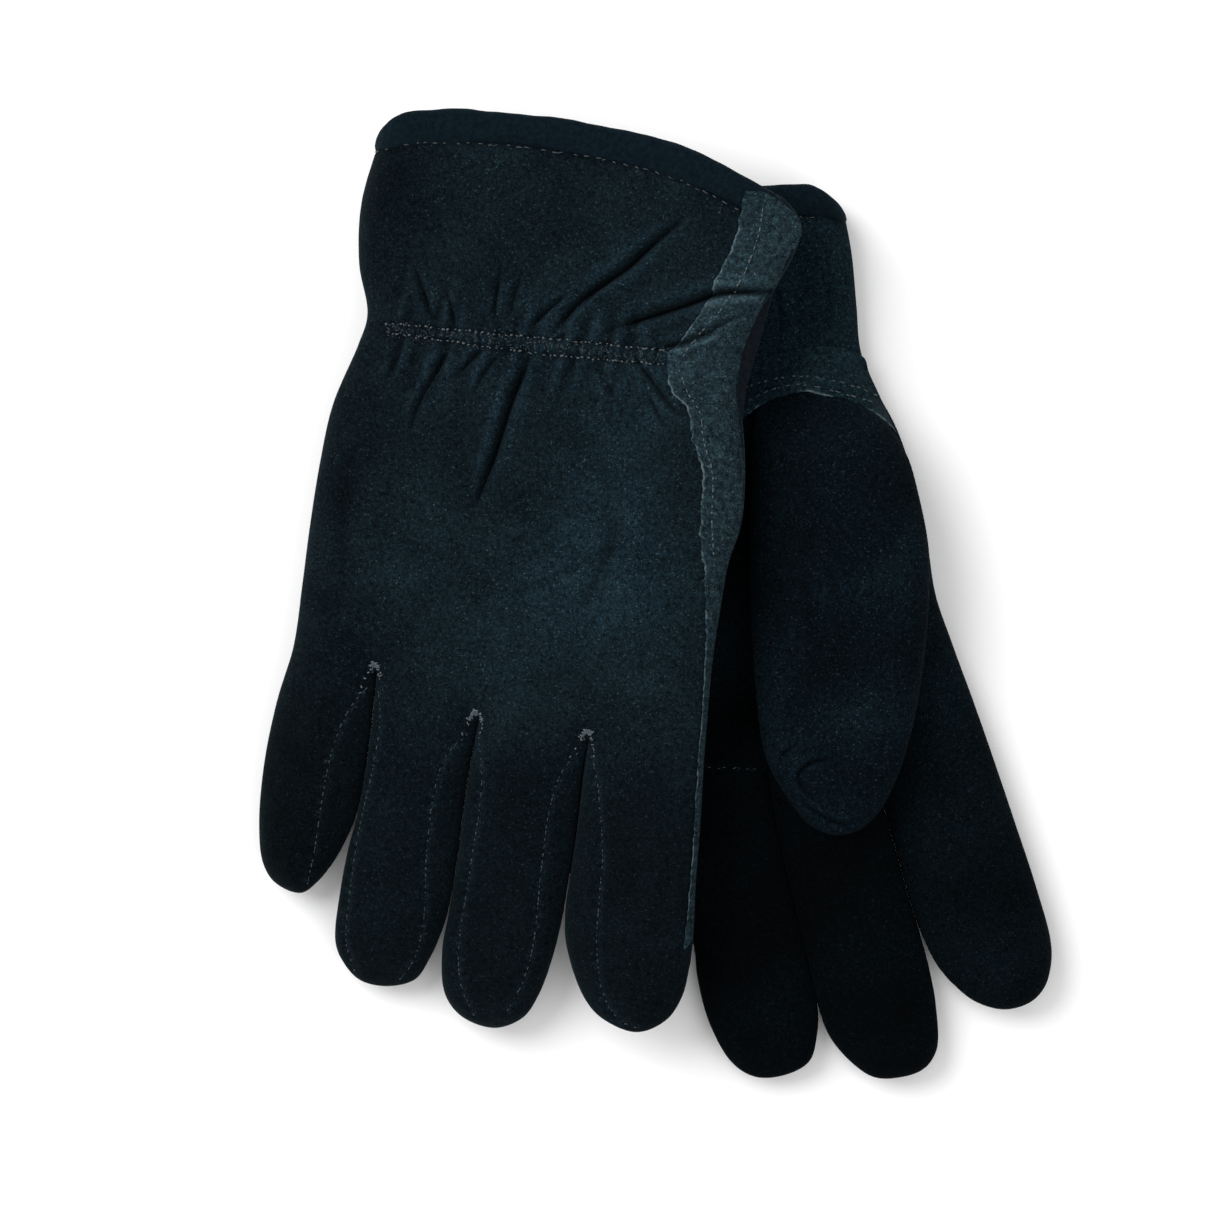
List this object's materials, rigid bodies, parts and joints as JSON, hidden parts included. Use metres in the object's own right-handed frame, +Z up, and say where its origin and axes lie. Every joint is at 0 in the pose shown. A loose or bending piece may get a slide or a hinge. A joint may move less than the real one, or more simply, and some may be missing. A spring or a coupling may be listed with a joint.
{
  "type": "work gloves",
  "caption": "Pair of lined suede work gloves with slip-on cuffs, gathered wrists and bound mouths, one lying palm down across the other palm up.",
  "frame": {"origin": "middle of the pair's bounding box in plan, on the surface the pair lies on", "axes": "+Z up, +Y from the fingertips to the cuffs as the pair lies, +X to the right seen from above with the cuffs at the top"},
  "size_m": [0.2223, 0.2752, 0.0466],
  "materials": {
    "suede": "matt napped split suede, blue-black",
    "suede_edge": "the same suede in a lighter strip with raw fuzzy edges",
    "lining": "dark pile lining",
    "elastic": "woven elastic",
    "binding": "dark knitted binding with light stitching"
  },
  "bodies": {
    "left_hand": {"left_back_panel": "suede", "left_cuff_back": "suede", "left_cuff_binding": "binding", "left_cuff_palm": "suede", "left_finger_linings": "lining", "left_fourchettes": "suede", "left_hand_lining": "lining", "left_middle_ring_front": "suede", "left_palm_panel": "suede", "left_side_strip": "suede_edge", "left_wrist_elastic": "elastic"},
    "right_hand": {"right_back_panel": "suede", "right_cuff_back": "suede", "right_cuff_binding": "binding", "right_cuff_palm": "suede", "right_finger_linings": "lining", "right_fourchettes": "suede", "right_hand_lining": "lining", "right_middle_ring_front": "suede", "right_palm_panel": "suede", "right_side_strip": "suede_edge", "right_thumb_back": "suede", "right_thumb_front": "suede", "right_thumb_lining": "lining", "right_wrist_elastic": "elastic"},
    "right_pinky_tip": {"right_pinky_tip_back": "suede", "right_pinky_tip_fourchette": "suede", "right_pinky_tip_front": "suede", "right_pinky_tip_lining": "lining"},
    "right_ring_tip": {"right_ring_tip_back": "suede", "right_ring_tip_fourchette": "suede", "right_ring_tip_front": "suede", "right_ring_tip_lining": "lining"},
    "right_middle_tip": {"right_middle_tip_back": "suede", "right_middle_tip_fourchette": "suede", "right_middle_tip_front": "suede", "right_middle_tip_lining": "lining"},
    "right_index_tip": {"right_index_tip_back": "suede", "right_index_tip_fourchette": "suede", "right_index_tip_front": "suede", "right_index_tip_lining": "lining"},
    "left_middle_tip": {"left_middle_tip_back": "suede", "left_middle_tip_fourchette": "suede", "left_middle_tip_front": "suede", "left_middle_tip_lining": "lining"},
    "left_index_tip": {"left_index_tip_back": "suede", "left_index_tip_fourchette": "suede", "left_index_tip_front": "suede", "left_index_tip_lining": "lining"},
    "left_thumb": {"left_thumb_back": "suede", "left_thumb_front": "suede", "left_thumb_lining": "lining"}
  },
  "joints": [
    {"name": "right_glove_lift", "type": "slide", "parent": "left_hand", "child": "right_hand", "axis": [0, 0, 1], "range_m": [0, 0.08]},
    {"name": "right_pinky_fold", "type": "hinge", "parent": "right_hand", "child": "right_pinky_tip", "pos_m": [-0.09548, -0.05045, 0.01156], "axis": [-0.9643, 0.1527, -0.2164], "range_deg": [0, 45]},
    {"name": "right_ring_fold", "type": "hinge", "parent": "right_hand", "child": "right_ring_tip", "pos_m": [-0.06839, -0.06532, 0.014], "axis": [-0.9643, 0.1527, -0.2164], "range_deg": [0, 45]},
    {"name": "right_middle_fold", "type": "hinge", "parent": "right_hand", "child": "right_middle_tip", "pos_m": [-0.0372, -0.0735, 0.01784], "axis": [-0.9643, 0.1527, -0.2164], "range_deg": [0, 45]},
    {"name": "right_index_fold", "type": "hinge", "parent": "right_hand", "child": "right_index_tip", "pos_m": [-0.00515, -0.07589, 0.02522], "axis": [-0.9643, 0.1527, -0.2164], "range_deg": [0, 45]},
    {"name": "left_middle_fold", "type": "hinge", "parent": "left_hand", "child": "left_middle_tip", "pos_m": [0.05345, -0.0841, 0.00671], "axis": [-0.9724, -0.2334, 0], "range_deg": [0, 60]},
    {"name": "left_index_fold", "type": "hinge", "parent": "left_hand", "child": "left_index_tip", "pos_m": [0.0834, -0.07136, 0.00743], "axis": [-0.9724, -0.2334, 0], "range_deg": [0, 60]},
    {"name": "left_thumb_fold", "type": "hinge", "parent": "left_hand", "child": "left_thumb", "pos_m": [0.07927, 0.02296, 0.01635], "axis": [-0.309, 0.9511, 0], "range_deg": [0, 100]}
  ]
}
